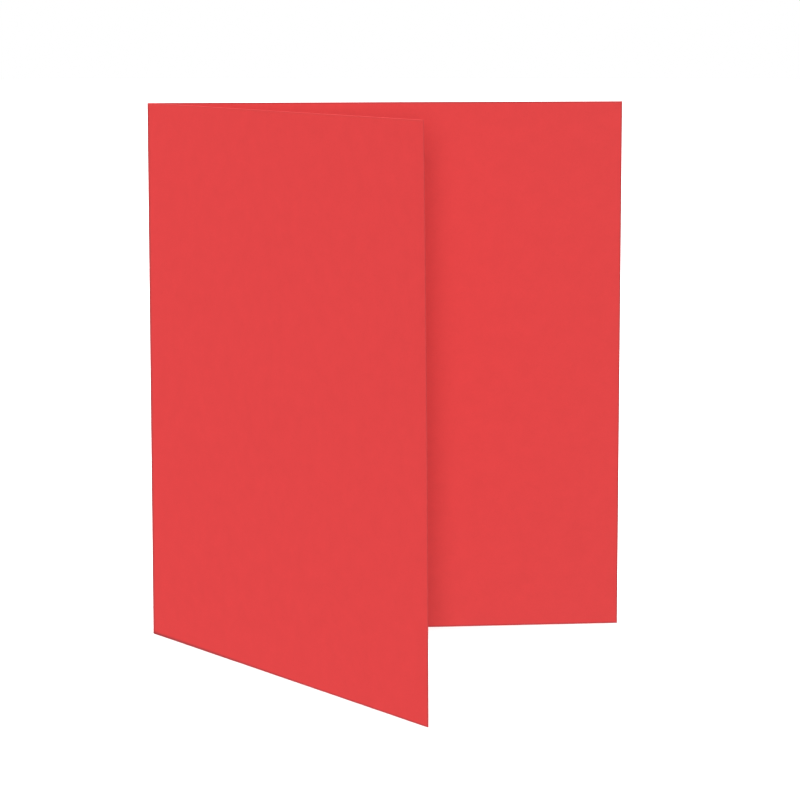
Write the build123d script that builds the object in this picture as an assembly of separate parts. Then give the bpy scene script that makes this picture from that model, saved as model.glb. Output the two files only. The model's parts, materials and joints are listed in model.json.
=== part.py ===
"""One sheet of paper, folded once across its middle and left standing partly open.

The sheet is cut to a rectangle and folded so that its two leaves are equal. Seen from above, the back
leaf runs along +X and the front leaf swings towards -Y. Both leaves and the crease between them stand
on the plane Z = 0. The frame's origin is the foot of the fold, on the centre line of the bend, so the
fold opens and closes about the Z axis.

Each leaf is a flat panel. The crease is the narrow strip that joins them: a flat margin beside each
leaf, and between the margins the bend itself, an arc that is concentric with the Z axis. Because the
arc touches both inner faces, the leaves lie parallel with a gap of twice the bend's inner radius when
the fold is closed, and lie in one plane when it is opened out.
"""

from build123d import *
import math
import os

# Driving dimensions, in millimetres and degrees.
SHEET_LENGTH = 297.0     # the flat sheet, measured across the fold
SHEET_HEIGHT = 167.0     # the flat sheet, measured along the fold
SHEET_THICKNESS = 0.2    # paper of about 160 grams per square metre
BEND_INNER_RADIUS = 0.2  # inside radius of the fold
CREASE_MARGIN = 0.5      # flat strip on each side of the bend that the folding has softened
OPENING_ANGLE = 60.0     # between the two leaves as the sheet stands

# What follows from them.
BEND_OUTER_RADIUS = BEND_INNER_RADIUS + SHEET_THICKNESS
BEND_MIDDLE_RADIUS = BEND_INNER_RADIUS + SHEET_THICKNESS / 2
HALF_TURN = 180.0
BEND_ANGLE = HALF_TURN - OPENING_ANGLE
BEND_LENGTH = BEND_MIDDLE_RADIUS * math.radians(BEND_ANGLE)
LEAF_REACH = (SHEET_LENGTH - BEND_LENGTH) / 2  # from the end of the bend to the free edge

# The bend starts where it touches the back leaf, straight along +Y from the Z axis.
BEND_START_ANGLE = 90.0


def plan_line(start: tuple, end: tuple) -> Edge:
    """A straight run of the sheet's outline, seen from above."""
    return Line(start, end).edge()


def stand_up(outline: list) -> Part:
    """The closed outline, seen from above, raised to the height of the sheet."""
    return extrude(make_face(outline), amount=SHEET_HEIGHT, dir=(0, 0, 1))


def flat_leaf() -> Part:
    """A leaf where the back leaf lies: along +X, with its inner face towards -Y."""
    inner, outer = BEND_INNER_RADIUS, BEND_OUTER_RADIUS
    corners = [
        (CREASE_MARGIN, inner),
        (LEAF_REACH, inner),
        (LEAF_REACH, outer),
        (CREASE_MARGIN, outer),
    ]
    sides = zip(corners, corners[1:] + corners[:1])
    return stand_up([plan_line(start, end) for start, end in sides])


def swing_to_front(leaf: Part) -> Part:
    """The same leaf on the other side of the fold, turned from lying open to the opening angle."""
    laid_open = mirror(leaf, about=Plane.YZ)
    return Rotation(0, 0, BEND_ANGLE) * laid_open


def front_point(along: float, radius: float) -> tuple:
    """A point of the front leaf, seen from above.

    The first number is the distance from the bend along the leaf, and the second is the distance
    from the Z axis to the face that the point lies on.
    """
    turn = math.radians(BEND_ANGLE)
    return (
        -along * math.cos(turn) - radius * math.sin(turn),
        -along * math.sin(turn) + radius * math.cos(turn),
    )


def crease_strip() -> Part:
    """The bent strip between the leaves, which meets each of them face to face."""
    inner, outer = BEND_INNER_RADIUS, BEND_OUTER_RADIUS
    outline = [
        plan_line((CREASE_MARGIN, outer), (0, outer)),
        CenterArc((0, 0), outer, BEND_START_ANGLE, BEND_ANGLE).edge(),
        plan_line(front_point(0, outer), front_point(CREASE_MARGIN, outer)),
        plan_line(front_point(CREASE_MARGIN, outer), front_point(CREASE_MARGIN, inner)),
        plan_line(front_point(CREASE_MARGIN, inner), front_point(0, inner)),
        CenterArc((0, 0), inner, BEND_START_ANGLE, BEND_ANGLE).edge(),
        plan_line((0, inner), (CREASE_MARGIN, inner)),
        plan_line((CREASE_MARGIN, inner), (CREASE_MARGIN, outer)),
    ]
    return stand_up(outline)


def build() -> dict:
    """Every piece of the folded sheet, by the name of its node."""
    back_leaf = flat_leaf()
    return {
        "back_leaf": back_leaf,
        "front_leaf": swing_to_front(back_leaf),
        "fold_crease": crease_strip(),
    }


os.makedirs("parts", exist_ok=True)
for node, piece in build().items():
    export_step(piece, f"parts/{node}.step")
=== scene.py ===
"""A sheet of dyed red paper, folded across its middle and left standing partly open.

The sheet is one continuous piece of paper. It is modelled as it was made: cut to a rectangle, folded
once, and opened again, so each point of its mesh is worked out from its place on the flat sheet. The
frame gives the sizes: the reach of the leaves, the height, the thickness, and the bend of the fold.

All lengths are in metres and all angles in radians, unless a name says otherwise.
"""

import json
import logging
import math
from dataclasses import dataclass
from enum import Enum

import bpy
import numpy as np
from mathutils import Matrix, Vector


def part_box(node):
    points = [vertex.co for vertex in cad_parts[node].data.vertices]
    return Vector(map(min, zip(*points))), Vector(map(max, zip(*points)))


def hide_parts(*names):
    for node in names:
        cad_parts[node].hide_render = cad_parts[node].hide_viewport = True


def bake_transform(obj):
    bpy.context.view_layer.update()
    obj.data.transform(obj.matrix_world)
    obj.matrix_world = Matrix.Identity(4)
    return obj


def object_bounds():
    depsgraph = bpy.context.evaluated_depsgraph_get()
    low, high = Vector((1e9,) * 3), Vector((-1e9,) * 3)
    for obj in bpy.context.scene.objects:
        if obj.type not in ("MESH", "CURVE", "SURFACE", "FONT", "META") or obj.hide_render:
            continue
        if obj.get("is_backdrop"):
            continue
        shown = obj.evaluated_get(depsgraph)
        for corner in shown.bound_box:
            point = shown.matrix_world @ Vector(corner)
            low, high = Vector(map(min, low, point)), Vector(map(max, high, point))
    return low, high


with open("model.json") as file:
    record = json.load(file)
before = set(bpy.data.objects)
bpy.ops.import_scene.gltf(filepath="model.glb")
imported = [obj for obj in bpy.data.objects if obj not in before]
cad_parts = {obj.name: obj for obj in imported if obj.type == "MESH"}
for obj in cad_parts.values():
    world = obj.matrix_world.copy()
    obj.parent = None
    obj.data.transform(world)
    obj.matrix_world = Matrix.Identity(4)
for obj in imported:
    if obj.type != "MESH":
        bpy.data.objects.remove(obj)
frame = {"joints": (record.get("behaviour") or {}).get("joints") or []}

MM = 0.001
FULL_TURN = 2 * math.pi
PLACE = "sheet_place"  # the attribute that holds each point's place on the flat sheet
BAKE_MAP = "OFBake"

log = logging.getLogger("folded_sheet")


# ----------------------------------------
# The sheet
# ----------------------------------------


class Face(Enum):
    """The two faces of the sheet, by the side of the middle surface that they lie on."""

    OUTER = 1.0
    INNER = -1.0


class PaperSlot(Enum):
    """The places on the sheet that take a finish of their own."""

    FACES = 0
    CUT_EDGES = 1


@dataclass(frozen=True)
class FoldSizes:
    """The sizes of the folded sheet.

    The path across the sheet is measured along its middle surface, from the middle of the bend. It is
    negative on the back leaf and positive on the front leaf.

    Attributes:
        reach: Length of a leaf, from the end of the bend to its free edge.
        height: Height of the sheet, along the fold.
        thickness: Thickness of the paper.
        inner_radius: Inside radius of the bend.
        opening: Angle between the leaves as the sheet stands.
    """

    reach: float
    height: float
    thickness: float
    inner_radius: float
    opening: float

    @classmethod
    def from_frame(cls) -> "FoldSizes":
        """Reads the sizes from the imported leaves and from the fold's travel.

        Returns:
            The sizes of the sheet as it stands at rest.
        """
        low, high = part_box("back_leaf")
        fold = next(joint for joint in frame["joints"] if joint["name"] == "fold")
        return cls(
            reach=high.x,
            height=high.z - low.z,
            thickness=high.y - low.y,
            inner_radius=low.y,
            opening=math.radians(-fold["range_deg"][0]),
        )

    @property
    def middle_radius(self) -> float:
        """Radius of the bend at the middle of the paper's thickness."""
        return self.inner_radius + self.thickness / 2

    @property
    def half_bend(self) -> float:
        """Path from the middle of the bend to either end of it."""
        return self.middle_radius * (math.pi - self.opening) / 2

    @property
    def half_length(self) -> float:
        """Path from the middle of the bend to a free edge."""
        return self.reach + self.half_bend

    @property
    def opening_way(self) -> Vector:
        """The direction that leads from the back leaf across the fold to the front leaf."""
        back, front = Vector((1, 0, 0)), Vector((math.cos(self.opening), -math.sin(self.opening), 0))
        return (front - back).normalized()

    def place(self, path: np.ndarray, up: np.ndarray, lift: np.ndarray) -> np.ndarray:
        """Finds where points of the sheet stand.

        Args:
            path: Path of each point across the sheet.
            up: Height of each point.
            lift: Distance of each point from the middle surface, positive towards the outside.

        Returns:
            An array of one row of x, y and z for each point.
        """
        radius = self.middle_radius + lift
        turn = np.clip((path + self.half_bend) / self.middle_radius, 0, math.pi - self.opening)
        along = np.where(
            path < 0, np.maximum(-path - self.half_bend, 0), -np.maximum(path - self.half_bend, 0)
        )
        x = along * np.cos(turn) - radius * np.sin(turn)
        y = along * np.sin(turn) + radius * np.cos(turn)
        return np.stack([x, y, up], axis=-1)


@dataclass(frozen=True)
class Flex:
    """How the paper departs from two flat leaves.

    Attributes:
        foot_gape: How much further the front leaf stands open at its foot than the fold's set.
        twist: How much further again it stands open at its top.
        twist_power: How the twist gathers towards the top, where 1 would be evenly.
        shoulder: Height of the slight swell where a leaf leaves the crease.
        shoulder_reach: Path from the bend to the crest of that swell.
        cockle: Height of the waves that damp air leaves in paper.
        calm: Path over which those waves grow from nothing at the crease.
        ridge: Height of the crushed fibres along the inside of the bend.
        ridge_change: How much that height changes along the bend, as a share.
        ridge_reach: Half the width of that ridge.
        crack: Height of the broken fibres along the outside of the bend.
        seed: Seed of every random draw.
    """

    foot_gape: float = math.radians(0.68)
    twist: float = math.radians(0.68)
    twist_power: float = 1.5
    shoulder: float = 0.04 * MM
    shoulder_reach: float = 2.2 * MM
    cockle: float = 0.05 * MM
    calm: float = 14 * MM
    ridge: float = 0.05 * MM
    ridge_change: float = 0.3
    ridge_reach: float = 0.25 * MM
    crack: float = 0.010 * MM
    seed: int = 7

    WAVES = 9
    SHORTEST_WAVE = 28 * MM
    LONGEST_WAVE = 90 * MM
    TICKS = 40
    SHORTEST_TICK = 2.4 * MM
    LONGEST_TICK = 14 * MM
    FACE_SEEDS = {Face.OUTER: 1, Face.INNER: 2}

    def leaf_lift(self, sizes: FoldSizes, path: np.ndarray, up: np.ndarray) -> np.ndarray:
        """Works out how far the whole thickness of the sheet stands off its flat leaves.

        Args:
            sizes: The sizes of the sheet.
            path: Path of each point across the sheet.
            up: Height of each point.

        Returns:
            The lift of each point, positive towards the outside of the fold.
        """
        along = np.maximum(np.abs(path) - sizes.half_bend, 0)
        share_up = np.clip(up / sizes.height, 0, 1)
        gape = self.foot_gape + self.twist * share_up**self.twist_power
        swing = np.where(path > 0, along * np.tan(gape), 0)
        part = along / self.shoulder_reach
        swell = self.shoulder * part * np.exp(1 - part)
        return swing + swell + self.waves(path, up) * self.eased(along / self.calm)

    def waves(self, path: np.ndarray, up: np.ndarray) -> np.ndarray:
        """Sums a few long, low waves that run across the sheet in random directions.

        Args:
            path: Path of each point across the sheet.
            up: Height of each point.

        Returns:
            The height of the waves at each point.
        """
        draw = np.random.default_rng(self.seed)
        total = np.zeros_like(path)
        for _ in range(self.WAVES):
            length = draw.uniform(self.SHORTEST_WAVE, self.LONGEST_WAVE)
            heading, phase = draw.uniform(0, FULL_TURN, 2)
            run = path * math.cos(heading) + up * math.sin(heading)
            total += length / self.LONGEST_WAVE * np.sin(FULL_TURN * run / length + phase)
        return self.cockle * total / math.sqrt(self.WAVES)

    def crease_swell(self, sizes: FoldSizes, path: np.ndarray, up: np.ndarray, face: Face) -> np.ndarray:
        """Works out how far one face stands off at the bend, where the folding has broken the fibres.

        Args:
            sizes: The sizes of the sheet.
            path: Path of each point across the sheet.
            up: Height of each point.
            face: The face that the points lie on.

        Returns:
            How far the face stands away from the middle surface, more than half the thickness.
        """
        draw = np.random.default_rng(self.seed + self.FACE_SEEDS[face])
        ticks = np.zeros_like(up)
        for _ in range(self.TICKS):
            length = draw.uniform(self.SHORTEST_TICK, self.LONGEST_TICK)
            ticks += np.sin(FULL_TURN * up / length + draw.uniform(0, FULL_TURN))
        ticks /= math.sqrt(self.TICKS)
        if face is Face.INNER:
            height = self.ridge * (1 + self.ridge_change * ticks)
            return height * np.exp(-((path / self.ridge_reach) ** 2))
        return self.crack * ticks * np.exp(-((path / sizes.half_bend) ** 2))

    @staticmethod
    def eased(share: np.ndarray) -> np.ndarray:
        """A share from 0 to 1, with a smooth start and end."""
        share = np.clip(share, 0, 1)
        return share * share * (3 - 2 * share)


@dataclass(frozen=True)
class MeshLines:
    """Where the lines of the sheet's mesh run: close together at the crease and the cut edges.

    Attributes:
        crease_step: Space between lines on the bend.
        crease_reach: Path from the middle of the bend over which that spacing is kept.
        step: Widest space between lines across a leaf.
        rise: Widest space between lines up the sheet.
        growth: How much wider each space is than the one before it.
        rim_step: Space between the cut edge and the first line beside it.
    """

    crease_step: float = 0.06 * MM
    crease_reach: float = 0.9 * MM
    step: float = 1.8 * MM
    rise: float = 1.1 * MM
    growth: float = 1.45
    rim_step: float = 0.12 * MM

    def widening(self, start: float, end: float, first: float, widest: float, last: float) -> list[float]:
        """Spaces lines from start to end, narrow at both ends and wide between them.

        Args:
            start: Where the first line lies.
            end: Where the last line lies.
            first: Space after the first line.
            widest: The widest space.
            last: Space before the last line.

        Returns:
            The lines, with both ends among them.
        """
        left, right = [start], [end]
        gap_left, gap_right = first, last
        while right[-1] - left[-1] > gap_left + gap_right:
            if gap_left <= gap_right:
                left.append(left[-1] + gap_left)
                gap_left = min(gap_left * self.growth, widest)
            else:
                right.append(right[-1] - gap_right)
                gap_right = min(gap_right * self.growth, widest)
        return left + right[::-1]

    def across(self, sizes: FoldSizes) -> np.ndarray:
        """Places the lines across the sheet, from the back leaf's free edge to the front leaf's.

        Args:
            sizes: The sizes of the sheet.

        Returns:
            The path of each line.
        """
        spaces = round(self.crease_reach / self.crease_step)
        crease = [self.crease_reach * i / spaces for i in range(spaces)]
        leaf = self.widening(
            self.crease_reach, sizes.half_length, self.crease_step, self.step, self.rim_step
        )
        half = np.array(crease + leaf)
        return np.concatenate([-half[:0:-1], half])

    def up(self, sizes: FoldSizes) -> np.ndarray:
        """The lines up the sheet, from its foot to its top."""
        return np.array(self.widening(0, sizes.height, self.rim_step, self.rise, self.rim_step))


@dataclass
class FoldedSheet:
    """The sheet of paper: two leaves and the crease between them, in one mesh.

    Attributes:
        sizes: The sizes of the sheet.
        flex: How the paper departs from flat leaves.
        lines: Where the mesh lines run.
        edge_round: How far the guillotine has rounded each cut edge over.
        bend_reach: How far from the middle of the crease the paper would give when the fold moves. Not
            used.
    """

    sizes: FoldSizes
    flex: Flex = Flex()
    lines: MeshLines = MeshLines()
    edge_round: float = 0.035 * MM
    bend_reach: float = 0.8 * MM

    BAKE_GAP = 2 * MM
    BAKE_STRIP = 6 * MM
    BAKE_GAPS_UP = 4  # the gaps below, between and above the two faces, and one to spare

    def build(self) -> bpy.types.Object:
        """Builds the sheet's mesh as one closed surface.

        Returns:
            The sheet, with its places and its bake map, and with no finish yet.
        """
        across, up = self.lines.across(self.sizes), self.lines.up(self.sizes)
        outer = self.face_grid(across, up, Face.OUTER)
        inner = self.face_grid(across, up, Face.INNER)
        rings = self.rim_rings(across, up)
        points = np.concatenate([outer[0], inner[0], rings[0]])
        places = np.concatenate([outer[1], inner[1], rings[1]])
        faces, slots = self.join(len(across), len(up))

        mesh = bpy.data.meshes.new("paper_sheet")
        mesh.from_pydata(points.tolist(), [], faces.tolist())
        mesh.polygons.foreach_set("use_smooth", np.ones(len(faces), bool))
        mesh.polygons.foreach_set("material_index", slots)
        mesh.attributes.new(PLACE, "FLOAT_VECTOR", "POINT").data.foreach_set("vector", places.ravel())
        self.add_bake_map(mesh, places, faces, slots)
        mesh.update()
        sheet = bpy.data.objects.new("paper_sheet", mesh)
        bpy.context.scene.collection.objects.link(sheet)
        return sheet

    def face_grid(self, across: np.ndarray, up: np.ndarray, face: Face) -> tuple[np.ndarray, np.ndarray]:
        """Places the grid of points on one face, drawn in a little at the cut edges.

        Args:
            across: The mesh lines across the sheet.
            up: The mesh lines up the sheet.
            face: Which face to place.

        Returns:
            The points, and their places on the flat sheet.
        """
        limit = self.sizes.half_length - self.edge_round
        path, height = np.meshgrid(
            np.clip(across, -limit, limit),
            np.clip(up, self.edge_round, self.sizes.height - self.edge_round),
            indexing="ij",
        )
        return self.stood(path.ravel(), height.ravel(), face.value * self.sizes.thickness / 2, face)

    def rim_rings(self, across: np.ndarray, up: np.ndarray) -> tuple[np.ndarray, np.ndarray]:
        """Places the two rings of points that run round the cut edge, one near each face.

        Args:
            across: The mesh lines across the sheet.
            up: The mesh lines up the sheet.

        Returns:
            The points, and their places on the flat sheet.
        """
        path, height = np.meshgrid(across, up, indexing="ij")
        round_it = self.boundary(len(across), len(up))
        path, height = path.ravel()[round_it], height.ravel()[round_it]
        square = self.sizes.thickness / 2 - self.edge_round
        rings = [self.stood(path, height, face.value * square, face) for face in Face]
        return np.concatenate([r[0] for r in rings]), np.concatenate([r[1] for r in rings])

    def stood(
        self, path: np.ndarray, up: np.ndarray, offset: float, face: Face
    ) -> tuple[np.ndarray, np.ndarray]:
        """Stands points of the flat sheet up in the folded sheet.

        Args:
            path: Path of each point across the sheet.
            up: Height of each point.
            offset: Distance of the points from the middle surface, positive towards the outside.
            face: The face that they lie on or beside.

        Returns:
            The points, and their places on the flat sheet: path, height, and offset.
        """
        swell = face.value * self.flex.crease_swell(self.sizes, path, up, face)
        lift = offset + swell + self.flex.leaf_lift(self.sizes, path, up)
        place = np.stack([path, up, np.full_like(path, offset)], axis=-1)
        return self.sizes.place(path, up, lift), place

    @staticmethod
    def boundary(columns: int, rows: int) -> np.ndarray:
        """Lists the points round the edge of a grid, going round once.

        Args:
            columns: How many lines run up the sheet.
            rows: How many lines run across it.

        Returns:
            The index of each point in the grid, from the foot of the back leaf's free edge.
        """
        grid = np.arange(columns * rows).reshape(columns, rows)
        return np.concatenate([grid[:-1, 0], grid[-1, :-1], grid[:0:-1, -1], grid[0, :0:-1]])

    def join(self, columns: int, rows: int) -> tuple[np.ndarray, np.ndarray]:
        """Joins the points into the faces of a closed surface.

        Args:
            columns: How many lines run up the sheet.
            rows: How many lines run across it.

        Returns:
            The corners of each face, and the slot that each face takes its finish from.
        """
        grid = np.arange(columns * rows).reshape(columns, rows)
        near, right, above, far = grid[:-1, :-1], grid[1:, :-1], grid[:-1, 1:], grid[1:, 1:]
        outer = np.stack([near, right, far, above], axis=-1).reshape(-1, 4)
        inner = outer[:, ::-1] + columns * rows

        loop = self.boundary(columns, rows)
        first_ring = np.arange(len(loop)) + 2 * columns * rows
        belts = [loop, first_ring, first_ring + len(loop), loop + columns * rows]
        rim = [
            np.stack([a, b, np.roll(b, -1), np.roll(a, -1)], axis=-1) for a, b in zip(belts, belts[1:])
        ]
        faces = np.concatenate([outer, inner, *rim])
        slots = np.full(len(faces), PaperSlot.CUT_EDGES.value, np.int32)
        slots[: len(outer) + len(inner)] = PaperSlot.FACES.value
        return faces, slots

    def add_bake_map(
        self, mesh: bpy.types.Mesh, places: np.ndarray, faces: np.ndarray, slots: np.ndarray
    ) -> None:
        """Lays the faces out flat: the outer face above the inner one, and the cut edges beside them.

        Args:
            mesh: The sheet's mesh.
            places: Place of each point on the flat sheet.
            faces: The corners of each face.
            slots: The slot that each face takes its finish from.
        """
        gap, strip = self.BAKE_GAP, self.BAKE_STRIP
        side = 2 * self.sizes.height + self.BAKE_GAPS_UP * gap
        corner = places[faces]
        flat = np.empty((len(faces), 4, 2))
        flat[..., 0] = corner[..., 0] + self.sizes.half_length + gap
        flat[..., 1] = corner[..., 1] + gap
        on_outer = corner[..., 2].mean(axis=1) > 0
        on_face = slots == PaperSlot.FACES.value
        flat[on_face & on_outer, :, 1] += self.sizes.height + gap

        edge = corner[~on_face]
        upright = np.ptp(edge[..., 0], axis=1) < np.ptp(edge[..., 1], axis=1)
        run = np.where(upright[:, None], edge[..., 1], edge[..., 0] + self.sizes.half_length)
        far_side = np.where(
            upright[:, None], edge[..., 0] > 0, edge[..., 1] > self.sizes.height / 2
        )
        lane = 2 * far_side + upright[:, None]
        depth = edge[..., 2] / self.sizes.thickness + 0.5
        flat[~on_face, :, 0] = 2 * self.sizes.half_length + (2 + lane) * gap + (lane + depth) * strip
        flat[~on_face, :, 1] = run + gap
        mesh.uv_layers.new(name=BAKE_MAP).data.foreach_set("uv", (flat / side).ravel())

    def dress(self, sheet: bpy.types.Object, faces: bpy.types.Material, edges: bpy.types.Material) -> None:
        """Gives the faces and the cut edges their finishes.

        Args:
            sheet: The sheet.
            faces: Finish of both faces.
            edges: Finish of the cut edges.
        """
        sheet.data.materials.append(faces)
        sheet.data.materials.append(edges)

    def hang(self, sheet: bpy.types.Object) -> None:
        """Hides the imported leaves and crease, and bakes the sheet's placing into its mesh.

        Args:
            sheet: The sheet, with its final mesh.
        """
        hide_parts("back_leaf", "fold_crease", "front_leaf")
        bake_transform(sheet)


# ----------------------------------------
# Paper-making effects and painted shade lines, as shader groups
# ----------------------------------------


class Bench:
    """A short way to lay out nodes in one tree.

    Attributes:
        tree: The tree that the nodes go into.
    """

    MIX_INPUTS = (0, 6, 7)  # a Mix node's sockets for two colours: the share, the first, the second
    MIX_RESULT = 2

    def __init__(self, tree: bpy.types.NodeTree) -> None:
        """Starts on a tree."""
        self.tree = tree

    def fill(self, socket: bpy.types.NodeSocket, value: object) -> None:
        """Fills one socket.

        Args:
            socket: The socket to fill.
            value: Another socket, which is linked into it, or anything else, which is set on it.
        """
        if isinstance(value, bpy.types.NodeSocket):
            self.tree.links.new(value, socket)
        else:
            socket.default_value = value

    def node(self, kind: str, inputs: dict | None = None, **settings: object) -> bpy.types.Node:
        """Adds a node.

        Args:
            kind: Blender's name for the kind of node.
            inputs: What fills its sockets, by the socket's name or number.
            **settings: The node's own settings.

        Returns:
            The new node.
        """
        made = self.tree.nodes.new(kind)
        for name, value in settings.items():
            setattr(made, name, value)
        for name, value in (inputs or {}).items():
            self.fill(made.inputs[name], value)
        return made

    def math(self, operation: str, *values: object, clamp: bool = False) -> bpy.types.NodeSocket:
        """Adds a Math node and returns its result."""
        made = self.node("ShaderNodeMath", dict(enumerate(values)), operation=operation, use_clamp=clamp)
        return made.outputs[0]

    def vector(self, operation: str, *values: object) -> bpy.types.NodeSocket:
        """Adds a Vector Math node and returns its result."""
        return self.node("ShaderNodeVectorMath", dict(enumerate(values)), operation=operation).outputs[0]

    def noise(self, at: bpy.types.NodeSocket, scale: object, detail: float) -> bpy.types.Node:
        """Adds a Noise Texture node and returns it."""
        return self.node("ShaderNodeTexNoise", {"Vector": at, "Scale": scale, "Detail": detail})

    def group(self, tree: bpy.types.NodeTree, **inputs: object) -> bpy.types.NodeSocket:
        """Places a group, with its inputs given by name, and returns what it puts out."""
        return self.node("ShaderNodeGroup", inputs, node_tree=tree).outputs[0]

    def grey(self, level: bpy.types.NodeSocket) -> bpy.types.NodeSocket:
        """Adds a node that makes a grey of a level, and returns the grey."""
        made = self.node("ShaderNodeCombineColor", {"Red": level, "Green": level, "Blue": level})
        return made.outputs[0]

    def mixed(
        self, share: object, first: object, second: object, blend: str = "MIX"
    ) -> bpy.types.NodeSocket:
        """Adds a node that mixes two colours.

        Args:
            share: How much of the second colour is used.
            first: The first colour.
            second: The second colour.
            blend: How the second colour goes on the first.

        Returns:
            The mixture.
        """
        inputs = dict(zip(self.MIX_INPUTS, (share, first, second)))
        made = self.node("ShaderNodeMix", inputs, data_type="RGBA", blend_type=blend, clamp_factor=True)
        return made.outputs[self.MIX_RESULT]

    def eased(
        self, value: bpy.types.NodeSocket, start: float, end: float, at_start: float, at_end: float
    ) -> bpy.types.NodeSocket:
        """Adds a node that leads smoothly from one value to another.

        Args:
            value: What it goes by.
            start: Where on that value it starts to change.
            end: Where it stops.
            at_start: The result up to the start.
            at_end: The result from the end on.

        Returns:
            The result.
        """
        inputs = {"Value": value, "From Min": start, "From Max": end, "To Min": at_start, "To Max": at_end}
        return self.node("ShaderNodeMapRange", inputs, interpolation_type="SMOOTHSTEP").outputs["Result"]


def new_group(
    name: str, inputs: dict[str, str], output: str
) -> tuple[Bench, bpy.types.NodeOutputs, bpy.types.NodeSocket]:
    """Starts a shader group.

    Args:
        name: The group's name.
        inputs: Kind of each input, by name: Float or Vector.
        output: Name of the value that the group puts out.

    Returns:
        A bench on the group, what its inputs give, and the socket that takes what it puts out.
    """
    tree = bpy.data.node_groups.new(name, "ShaderNodeTree")
    for socket, kind in inputs.items():
        tree.interface.new_socket(socket, in_out="INPUT", socket_type=f"NodeSocket{kind}")
    tree.interface.new_socket(output, in_out="OUTPUT", socket_type="NodeSocketFloat")
    bench = Bench(tree)
    return bench, bench.node("NodeGroupInput").outputs, bench.node("NodeGroupOutput").inputs[0]


class PaperEffects:
    """The effects that the paper's finishes share, each built once.

    Attributes:
        formation: The faint clouds where the fibres settled more thickly.
        fibres: The fibres that lie on a surface of the paper.
        worn_and_shaded_line: A mask along a line, such as a cut edge or the crease, for worn fibres
        and for painted shade.
    """

    NOISE_MIDDLE = 0.5  # the value that noise varies about, by as much again at the most
    NOISE_SWING = 0.5

    FLOC_DETAIL = 3.0
    FLOC_ROUGHNESS = 0.55

    FIBRE_HEADINGS = (0.2, 0.95, 1.75, 2.5)
    LAYER_SHIFT = (17.3, 5.1, 3.7)  # how far apart the layers of fibres lie in the noise
    SWAYS_PER_METRE = 400.0
    SWAY = (0.9 * MM, 0.9 * MM, 0.0)
    STREAK_DETAIL = 1.0

    RAGS_PER_REACH = 0.6
    RAG_DETAIL = 2.0

    def __init__(self) -> None:
        """Builds every group."""
        self.formation = self.build_formation()
        self.fibres = self.build_fibres()
        self.worn_and_shaded_line = self.build_worn_and_shaded_line()

    def build_formation(self) -> bpy.types.NodeTree:
        """Builds the group for formation.

        Returns:
            The group, which puts out a value about 0.5.
        """
        bench, given, result = new_group("paper_formation", {"Place": "Vector", "Size": "Float"}, "Cloud")
        scale = bench.math("DIVIDE", 1.0, given["Size"])
        noise = bench.noise(given["Place"], scale, self.FLOC_DETAIL)
        noise.inputs["Roughness"].default_value = self.FLOC_ROUGHNESS
        bench.fill(result, noise.outputs[0])
        return bench.tree

    def build_fibres(self) -> bpy.types.NodeTree:
        """Builds the group for the fibres.

        Each heading gives one layer of long, thin streaks, and the highest layer shows.

        Returns:
            The group, which puts out a mask of the fibres.
        """
        bench, given, result = new_group(
            "paper_fibres",
            {"Place": "Vector", "Length": "Float", "Width": "Float", "Sharpness": "Float"},
            "Strands",
        )
        bent = bench.noise(given["Place"], self.SWAYS_PER_METRE, self.STREAK_DETAIL)
        sway = bench.vector("MULTIPLY", bent.outputs["Color"], self.SWAY)
        swayed = bench.vector("ADD", given["Place"], sway)
        per_length = bench.math("DIVIDE", 1.0, given["Length"])
        per_width = bench.math("DIVIDE", 1.0, given["Width"])
        squeeze = bench.node("ShaderNodeCombineXYZ", {"X": per_length, "Y": per_width, "Z": per_width})
        top = None
        for layer, heading in enumerate(self.FIBRE_HEADINGS):
            turned = bench.node(
                "ShaderNodeVectorRotate", {"Vector": swayed, "Angle": heading}, rotation_type="Z_AXIS"
            )
            drawn_out = bench.vector("MULTIPLY", turned.outputs[0], squeeze.outputs[0])
            shifted = bench.vector("ADD", drawn_out, [step * layer for step in self.LAYER_SHIFT])
            streak = bench.noise(shifted, 1.0, self.STREAK_DETAIL).outputs[0]
            from_crest = bench.math("ABSOLUTE", bench.math("SUBTRACT", streak, self.NOISE_MIDDLE))
            steep = bench.math("MULTIPLY", from_crest, given["Sharpness"])
            strand = bench.math("SUBTRACT", 1.0, steep, clamp=True)
            top = strand if top is None else bench.math("MAXIMUM", top, strand)
        bench.fill(result, top)
        return bench.tree

    def build_worn_and_shaded_line(self) -> bpy.types.NodeTree:
        """Builds the group for a mask along a line, used for worn fibres and for painted shade.

        Returns:
            The group, which puts out a mask: 1 on the line, and nothing beyond its reach.
        """
        bench, given, result = new_group(
            "worn_and_shaded_line_mask",
            {"Place": "Vector", "Distance": "Float", "Reach": "Float", "Raggedness": "Float"},
            "Mask",
        )
        scale = bench.math("DIVIDE", self.RAGS_PER_REACH, given["Reach"])
        noise = bench.noise(given["Place"], scale, self.RAG_DETAIL).outputs[0]
        swing = bench.math("SUBTRACT", noise, self.NOISE_MIDDLE)
        uneven = bench.math("MULTIPLY", swing, 1 / self.NOISE_SWING)
        spread = bench.math("MULTIPLY_ADD", uneven, given["Raggedness"], 1.0)
        reach = bench.math("MULTIPLY", spread, given["Reach"])
        share = bench.math("DIVIDE", given["Distance"], reach, clamp=True)
        bench.fill(result, bench.eased(share, 0.0, 1.0, 1.0, 0.0))
        return bench.tree


# ----------------------------------------
# Finishes
# ----------------------------------------

Colour = tuple[float, float, float]

WHITE: Colour = (1.0, 1.0, 1.0)


def opaque(colour: Colour) -> tuple[float, float, float, float]:
    """A colour with full cover, as a node's socket takes it."""
    return (*colour, 1.0)


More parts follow.
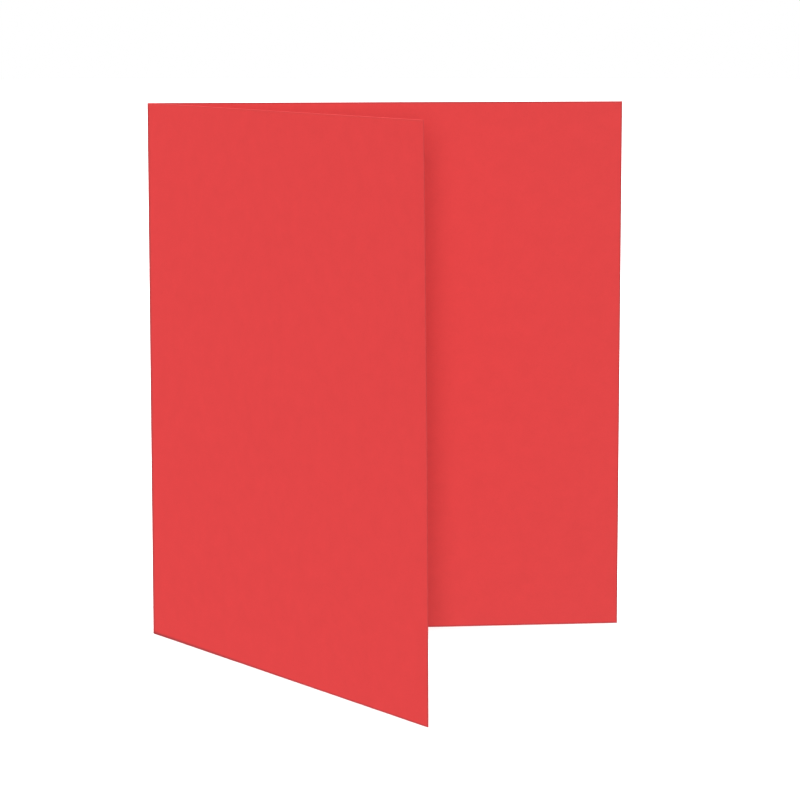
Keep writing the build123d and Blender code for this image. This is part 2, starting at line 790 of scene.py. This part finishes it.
def new_material(name: str) -> tuple[bpy.types.Material, Bench, bpy.types.NodeInputs]:
    """Starts a material.

    Args:
        name: The material's name.

    Returns:
        The material, a bench on its tree, and the inputs of its Principled BSDF.
    """
    material = bpy.data.materials.new(name)
    material.use_nodes = True
    shader = next(node for node in material.node_tree.nodes if node.type == "BSDF_PRINCIPLED")
    return material, Bench(material.node_tree), shader.inputs


@dataclass(frozen=True)
class Fibres:
    """The fibres that show on one surface of the paper.

    Attributes:
        length: Length of a fibre.
        width: Width of a fibre.
        sharpness: How sharply a fibre stands out from the paper round it.
    """

    length: float
    width: float
    sharpness: float


@dataclass(frozen=True)
class PaperLine:
    """A line along a cut edge, the fold or the foot, for worn fibres and for painted shade.

    Attributes:
        reach: How far it reaches from the edge or the fold that it follows.
        show: How much the line's colour covers.
        raggedness: How unevenly it ends, as a share of its reach.
    """

    reach: float
    show: float
    raggedness: float


class PaperGround:
    """What a paper finish is laid out on: places on the flat sheet, and the shared effects.

    Attributes:
        bench: A bench on the material's tree.
        effects: The effects that the paper's finishes share.
        place: Place on the flat sheet: path, height, and offset from the middle surface.
    """

    def __init__(self, bench: Bench, effects: PaperEffects) -> None:
        """Reads the place from the sheet.

        Args:
            bench: A bench on the material's tree.
            effects: The effects that the paper's finishes share.
        """
        self.bench = bench
        self.effects = effects
        self.place = bench.node("ShaderNodeAttribute", attribute_name=PLACE).outputs["Vector"]

    def axes(self) -> tuple[bpy.types.NodeSocket, ...]:
        """The path, the height and the offset, each on its own."""
        return tuple(self.bench.node("ShaderNodeSeparateXYZ", {0: self.place}).outputs)

    def cloud(self, size: float) -> bpy.types.NodeSocket:
        """The clouds of the paper's formation, of the size given."""
        return self.bench.group(self.effects.formation, Place=self.place, Size=size)

    def strands(self, fibres: Fibres) -> bpy.types.NodeSocket:
        """A mask of the fibres."""
        given = {"Length": fibres.length, "Width": fibres.width, "Sharpness": fibres.sharpness}
        return self.bench.group(self.effects.fibres, Place=self.place, **given)

    def line(self, line: PaperLine, distance: bpy.types.NodeSocket) -> bpy.types.NodeSocket:
        """A mask of a line, by the distance from what it follows."""
        given = {"Distance": distance, "Reach": line.reach, "Raggedness": line.raggedness}
        return self.bench.group(self.effects.worn_and_shaded_line, Place=self.place, **given)

    def roughen(self, shader: bpy.types.NodeInputs, height: bpy.types.NodeSocket, tooth: float) -> None:
        """Raises the surface of a finish by a bump of the height and depth given."""
        bump = self.bench.node("ShaderNodeBump", {"Strength": 1.0, "Distance": tooth, "Height": height})
        self.bench.fill(shader["Normal"], bump.outputs[0])


@dataclass(frozen=True)
class DyedPaper:
    """Uncoated craft paper, dyed through, as it shows on the faces of the sheet.

    Attributes:
        colour: Colour of the dyed paper on the outer face, where the paper is even.
        inner_face_colour_painted_against_bounce: Colour on the inner face: the outer colour with more
            green and blue painted in, to offset the red bounce light between the leaves.
        cloud: How much the formation changes the colour, as a share.
        floc_size: Size of the formation's clouds.
        fibres: The fibres on the surface.
        fibre_show: How much the fibres change the colour, as a share.
        worn: The line of broken fibres along the crease.
        worn_colour: Colour of those fibres.
        edge_shade: Painted shade: a thin dark outline beside the cut edges.
        painted_shade_colour: Colour of that painted shade, and of the painted shade beside the fold.
        edge_shade_top: How far up the front leaf's free edge that line is as strong as elsewhere.
        edge_shade_fade: How gradually it fades there.
        edge_shade_spare: How much of it is missing above that, and along the front leaf's top.
        crease_shade: Painted shade: a dark line on each side of the fold.
        foot_shade: Painted shade: a dark line along the foot, near the fold.
        foot_shade_colour: Colour of that painted shade.
        foot_shade_length: How far along the foot that painted shade runs before it is gone.
        roughness: Roughness of the paper between its fibres.
        roughness_change: How much the tooth changes the roughness.
        specular: Strength of the paper's faint shine.
        tooth: Height of the paper's tooth.
        tooth_size: Size of the tooth's grains.
        tooth_detail: How finely those grains are broken up.
        strand_share: How much of the tooth's height the fibres make up. The grains make up the rest.
    """

    colour: Colour = (0.755, 0.0600, 0.0612)
    inner_face_colour_painted_against_bounce: Colour = (0.755, 0.0672, 0.0683)
    cloud: float = 0.040
    floc_size: float = 5.5 * MM
    fibres: Fibres = Fibres(length=1.6 * MM, width=0.16 * MM, sharpness=9.0)
    fibre_show: float = 0.070
    worn: PaperLine = PaperLine(reach=0.42 * MM, show=0.35, raggedness=0.5)
    worn_colour: Colour = (0.830, 0.170, 0.165)
    edge_shade: PaperLine = PaperLine(reach=0.68 * MM, show=0.95, raggedness=0.15)
    painted_shade_colour: Colour = (0.430, 0.064, 0.066)
    edge_shade_top: float = 30 * MM
    edge_shade_fade: float = 6 * MM
    edge_shade_spare: float = 0.76
    crease_shade: PaperLine = PaperLine(reach=2.10 * MM, show=0.90, raggedness=0.2)
    foot_shade: PaperLine = PaperLine(reach=1.25 * MM, show=0.90, raggedness=0.2)
    foot_shade_colour: Colour = (0.330, 0.052, 0.054)
    foot_shade_length: float = 95 * MM
    roughness: float = 0.84
    roughness_change: float = 0.12
    specular: float = 0.03
    tooth: float = 0.026 * MM
    tooth_size: float = 0.35 * MM
    tooth_detail: float = 2.0
    strand_share: float = 0.6

    def material(self, sizes: FoldSizes, effects: PaperEffects) -> bpy.types.Material:
        """Builds the finish.

        Args:
            sizes: The sizes of the sheet.
            effects: The effects that the paper's finishes share.

        Returns:
            The material.
        """
        made, bench, shader = new_material("dyed_paper")
        ground = PaperGround(bench, effects)
        path, up, offset = ground.axes()
        from_fold = bench.math("ABSOLUTE", path)
        strands = ground.strands(self.fibres)

        clouded = bench.math("MULTIPLY_ADD", ground.cloud(self.floc_size), 2 * self.cloud, 1 - self.cloud)
        fibrous = bench.math("MULTIPLY_ADD", strands, self.fibre_show, 1 - self.fibre_show / 2)
        level = bench.math("MULTIPLY", clouded, fibrous)
        # Painted light: the inner face takes more green and blue than the outer face, to offset the red
        # bounce light between the leaves.
        on_inner = bench.math("LESS_THAN", offset, 0.0)
        face_colour_with_bounce_offset = bench.mixed(on_inner, opaque(self.colour), opaque(self.inner_face_colour_painted_against_bounce))
        dyed = bench.mixed(1.0, face_colour_with_bounce_offset, bench.grey(level), blend="MULTIPLY")

        # Painted shade: dark lines beside the cut edges and on each side of the fold.
        crease_shade = bench.math("MULTIPLY", ground.line(self.crease_shade, from_fold), self.crease_shade.show)
        lines = bench.math("MAXIMUM", self.edge_shade_line(ground, path, up, sizes), crease_shade)
        with_edge_and_crease_shade = bench.mixed(lines, dyed, opaque(self.painted_shade_colour))
        # Painted shade along the foot, darkest at the fold.
        with_foot_shade = bench.mixed(self.foot_shade_line(ground, up, from_fold), with_edge_and_crease_shade, opaque(self.foot_shade_colour))
        showing = bench.math("MULTIPLY", strands, self.worn.show)
        broken = bench.math("MULTIPLY", ground.line(self.worn, from_fold), showing)
        bench.fill(shader["Base Color"], bench.mixed(broken, with_foot_shade, opaque(self.worn_colour)))

        grains = bench.noise(ground.place, 1 / self.tooth_size, self.tooth_detail).outputs[0]
        raised = bench.math("MULTIPLY", strands, self.strand_share)
        height = bench.math("MULTIPLY_ADD", grains, 1 - self.strand_share, raised)
        ground.roughen(shader, height, self.tooth)
        smoothest = self.roughness - self.roughness_change / 2
        rougher = bench.math("MULTIPLY_ADD", grains, self.roughness_change, smoothest)
        bench.fill(shader["Roughness"], rougher)
        shader["Specular IOR Level"].default_value = self.specular
        return made

    def edge_shade_line(
        self,
        ground: PaperGround,
        path: bpy.types.NodeSocket,
        up: bpy.types.NodeSocket,
        sizes: FoldSizes,
    ) -> bpy.types.NodeSocket:
        """Lays out the painted shade beside the cut edges: a thin dark outline.

        It runs round the back leaf and along the foot. It is fainter along the front leaf's top, and
        along its free edge above the lowest part.

        Args:
            ground: What the finish is laid out on.
            path: Path across the sheet.
            up: Height up the sheet.
            sizes: The sizes of the sheet.

        Returns:
            How much the painted shade colour covers.
        """
        bench = ground.bench
        to_side = bench.math("SUBTRACT", sizes.half_length, bench.math("ABSOLUTE", path))
        to_end = bench.math("MINIMUM", up, bench.math("SUBTRACT", sizes.height, up))
        # Painted shade: a thin dark outline beside the cut edges, fainter on the front leaf above its
        # lowest part.
        line = ground.line(self.edge_shade, bench.math("MINIMUM", to_side, to_end))
        on_front = bench.math("GREATER_THAN", path, 0.0)
        raised = bench.eased(up, self.edge_shade_top - self.edge_shade_fade, self.edge_shade_top, 0.0, 1.0)
        spared = bench.math("MULTIPLY", on_front, raised)
        show = self.edge_shade.show
        kept = bench.math("MULTIPLY_ADD", spared, -self.edge_shade_spare * show, show)
        return bench.math("MULTIPLY", line, kept)

    def foot_shade_line(
        self, ground: PaperGround, up: bpy.types.NodeSocket, from_fold: bpy.types.NodeSocket
    ) -> bpy.types.NodeSocket:
        """Lays out the painted shade along the foot of the sheet, darkest at the fold.

        Args:
            ground: What the finish is laid out on.
            up: Height up the sheet.
            from_fold: Distance from the fold.

        Returns:
            How much the painted shade colour covers.
        """
        fading = ground.bench.eased(from_fold, 0.0, self.foot_shade_length, self.foot_shade.show, 0.0)
        return ground.bench.math("MULTIPLY", ground.line(self.foot_shade, up), fading)


@dataclass(frozen=True)
class CutPaper:
    """The same paper where the guillotine has cut through its fibres.

    Attributes:
        colour: Colour of the fibre ends that the blade has flattened.
        frayed: Colour of the fibre ends that stand proud.
        fibres: The fibre ends.
        floc_size: Size of the clouds in which they stand proud.
        show: How much the frayed colour covers.
        roughness: Roughness of the cut.
        specular: Strength of its faint shine.
        tooth: Height of the fibre ends.
    """

    colour: Colour = (0.580, 0.044, 0.046)
    frayed: Colour = (0.780, 0.092, 0.092)
    fibres: Fibres = Fibres(length=0.9 * MM, width=0.10 * MM, sharpness=7.0)
    floc_size: float = 2.5 * MM
    show: float = 0.4
    roughness: float = 0.92
    specular: float = 0.15
    tooth: float = 0.010 * MM

    def material(self, effects: PaperEffects) -> bpy.types.Material:
        """Builds the finish.

        Args:
            effects: The effects that the paper's finishes share.

        Returns:
            The material.
        """
        made, bench, shader = new_material("cut_paper")
        ground = PaperGround(bench, effects)
        strands = ground.strands(self.fibres)
        standing = bench.math("MULTIPLY", strands, ground.cloud(self.floc_size))
        share = bench.math("MULTIPLY", standing, 2 * self.show)
        bench.fill(shader["Base Color"], bench.mixed(share, opaque(self.colour), opaque(self.frayed)))
        ground.roughen(shader, strands, self.tooth)
        shader["Roughness"].default_value = self.roughness
        shader["Specular IOR Level"].default_value = self.specular
        return made


@dataclass(frozen=True)
class PaleFloor:
    """The plain pale floor that the sheet stands on.

    Attributes:
        lightness: How light the floor is, where 1 is white.
        mottle: How much its lightness changes from place to place.
        mottles_per_metre: How many of those changes there are in a metre.
        mottle_detail: How finely they are broken up.
        roughness: The floor's roughness.
        radius: How far the floor reaches from the middle of the sheet.
        sides: How many sides its round rim has.
    """

    lightness: float = 0.96
    mottle: float = 0.02
    mottles_per_metre: float = 9.0
    mottle_detail: float = 4.0
    roughness: float = 0.9
    radius: float = 6.0
    sides: int = 96

    def build(self) -> bpy.types.Object:
        """Lays the floor under the sheet.

        Returns:
            The floor.
        """
        low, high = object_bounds()
        middle = (low + high) / 2
        rim = []
        for side in range(self.sides):
            turn = FULL_TURN * side / self.sides
            x = middle.x + self.radius * math.cos(turn)
            y = middle.y + self.radius * math.sin(turn)
            rim.append((x, y, low.z))
        mesh = bpy.data.meshes.new("floor")
        mesh.from_pydata(rim, [], [list(range(self.sides))])
        mesh.materials.append(self.material())
        floor = bpy.data.objects.new("floor", mesh)
        bpy.context.scene.collection.objects.link(floor)
        floor.visible_diffuse = False
        floor.visible_glossy = False
        floor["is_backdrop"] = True
        return floor

    def material(self) -> bpy.types.Material:
        """Builds the floor's finish.

        Returns:
            The material.
        """
        made, bench, shader = new_material("pale_floor")
        place = bench.node("ShaderNodeTexCoord").outputs["Object"]
        grain = bench.noise(place, self.mottles_per_metre, self.mottle_detail).outputs[0]
        level = bench.math("MULTIPLY_ADD", grain, self.mottle, self.lightness - self.mottle / 2)
        bench.fill(shader["Base Color"], bench.grey(level))
        shader["Roughness"].default_value = self.roughness
        shader["Specular IOR Level"].default_value = 0.0
        return made


# ----------------------------------------
# Studio
# ----------------------------------------


@dataclass(frozen=True)
class SoftLight:
    """One distant soft light.

    Attributes:
        name: What the light is for.
        bearing_deg: Where the light stands, seen from above: 0 is straight in front of the back leaf,
            and a negative bearing is to the left.
        elevation_deg: How high it stands above the floor.
        spread_deg: How wide the light looks from the sheet.
        strength: Its strength, where 1 lights a white sheet that faces it to full white.
    """

    name: str
    bearing_deg: float
    elevation_deg: float
    spread_deg: float
    strength: float

    def build(self) -> bpy.types.Object:
        """Sets the light up.

        Returns:
            The lamp.
        """
        lamp = bpy.data.lights.new(self.name, "SUN")
        lamp.energy = self.strength * math.pi
        lamp.angle = math.radians(self.spread_deg)
        made = bpy.data.objects.new(self.name, lamp)
        bearing, elevation = math.radians(self.bearing_deg), math.radians(self.elevation_deg)
        aside = math.sin(bearing) * math.cos(elevation)
        ahead = -math.cos(bearing) * math.cos(elevation)
        towards = Vector((aside, ahead, math.sin(elevation)))
        made.rotation_euler = towards.to_track_quat("Z", "Y").to_euler()
        bpy.context.scene.collection.objects.link(made)
        return made


@dataclass(frozen=True)
class Studio:
    """The light round the sheet: a few soft lights and an even fill from all sides.

    Attributes:
        lights: The soft lights.
        fill: Strength of the even fill, where 1 alone lights a white sheet to full white.
    """

    lights: tuple[SoftLight, ...] = (
        SoftLight("key_light", bearing_deg=-6.4, elevation_deg=4.2, spread_deg=8.0, strength=0.50),
        SoftLight("front_fill", bearing_deg=14.0, elevation_deg=22.0, spread_deg=30.0, strength=0.10),
        SoftLight("left_fill", bearing_deg=-100.0, elevation_deg=18.0, spread_deg=24.0, strength=0.43),
        SoftLight("right_fill", bearing_deg=104.0, elevation_deg=18.0, spread_deg=30.0, strength=0.20),
        SoftLight("back_fill", bearing_deg=176.0, elevation_deg=24.0, spread_deg=30.0, strength=0.50),
        SoftLight("top_light", bearing_deg=0.0, elevation_deg=90.0, spread_deg=36.0, strength=1.50),
    )
    fill: float = 0.28

    def build(self) -> list[bpy.types.Object]:
        """Sets up the lights, and the even fill behind them.

        Returns:
            The lamps.
        """
        lamps = [light.build() for light in self.lights]
        world = bpy.data.worlds.new("white_room")
        world.use_nodes = True
        bench = Bench(world.node_tree)
        shader = next(node for node in world.node_tree.nodes if node.type == "BACKGROUND")
        seen = bench.node("ShaderNodeLightPath").outputs["Is Camera Ray"]
        bench.fill(shader.inputs["Strength"], bench.math("MULTIPLY_ADD", seen, 1 - self.fill, self.fill))
        shader.inputs["Color"].default_value = opaque(WHITE)
        bpy.context.scene.world = world
        bpy.context.scene.view_settings.view_transform = "Standard"
        return lamps


@dataclass(frozen=True)
class Viewpoint:
    """The camera: a long lens, a little above the sheet and looking slightly down at it.

    Lengths are shares of the sheet's height, counted from the foot of the fold.

    Attributes:
        stand_off: How far in front of the back leaf the camera stands.
        sideways: How far it stands to the right of the fold.
        eye_height: How high it stands.
        turn_deg: How far it is turned to the right.
        tilt_deg: How far it is tilted down.
        lens_mm: Focal length, on film 36 mm wide.
    """

    stand_off: float = 5.519
    sideways: float = -0.111
    eye_height: float = 1.204
    turn_deg: float = 5.98
    tilt_deg: float = 7.76
    lens_mm: float = 133.4

    LEVEL_DEG = 90  # how far a camera is turned up from looking straight down when it is level

    def build(self, sizes: FoldSizes) -> bpy.types.Object:
        """Sets the camera up.

        Args:
            sizes: The sizes of the sheet.

        Returns:
            The camera.
        """
        data = bpy.data.cameras.new("camera")
        data.lens = self.lens_mm
        camera = bpy.data.objects.new("camera", data)
        camera.location = Vector((self.sideways, -self.stand_off, self.eye_height)) * sizes.height
        raised = math.radians(self.LEVEL_DEG - self.tilt_deg)
        camera.rotation_euler = (raised, 0.0, -math.radians(self.turn_deg))
        bpy.context.scene.collection.objects.link(camera)
        bpy.context.scene.camera = camera
        return camera


# ----------------------------------------
# The whole
# ----------------------------------------


def main() -> None:
    """Builds the camera, the sheet, the floor and the studio, and logs what it made."""
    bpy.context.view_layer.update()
    sizes = FoldSizes.from_frame()
    camera = Viewpoint().build(sizes)
    log.info("%s: %.1f mm lens", camera.name, camera.data.lens)

    effects = PaperEffects()
    paper = FoldedSheet(sizes)
    sheet = paper.build()
    paper.dress(sheet, DyedPaper().material(sizes, effects), CutPaper().material(effects))
    paper.hang(sheet)
    log.info("%s: %d points, %d faces", sheet.name, len(sheet.data.vertices), len(sheet.data.polygons))

    floor = PaleFloor().build()
    log.info("%s: %d sides", floor.name, len(floor.data.vertices))
    for lamp in Studio().build():
        log.info("%s: strength %.2f", lamp.name, lamp.data.energy / math.pi)


if __name__ == "__main__":
    logging.basicConfig(level=logging.INFO, format="%(name)s: %(message)s")
    main()
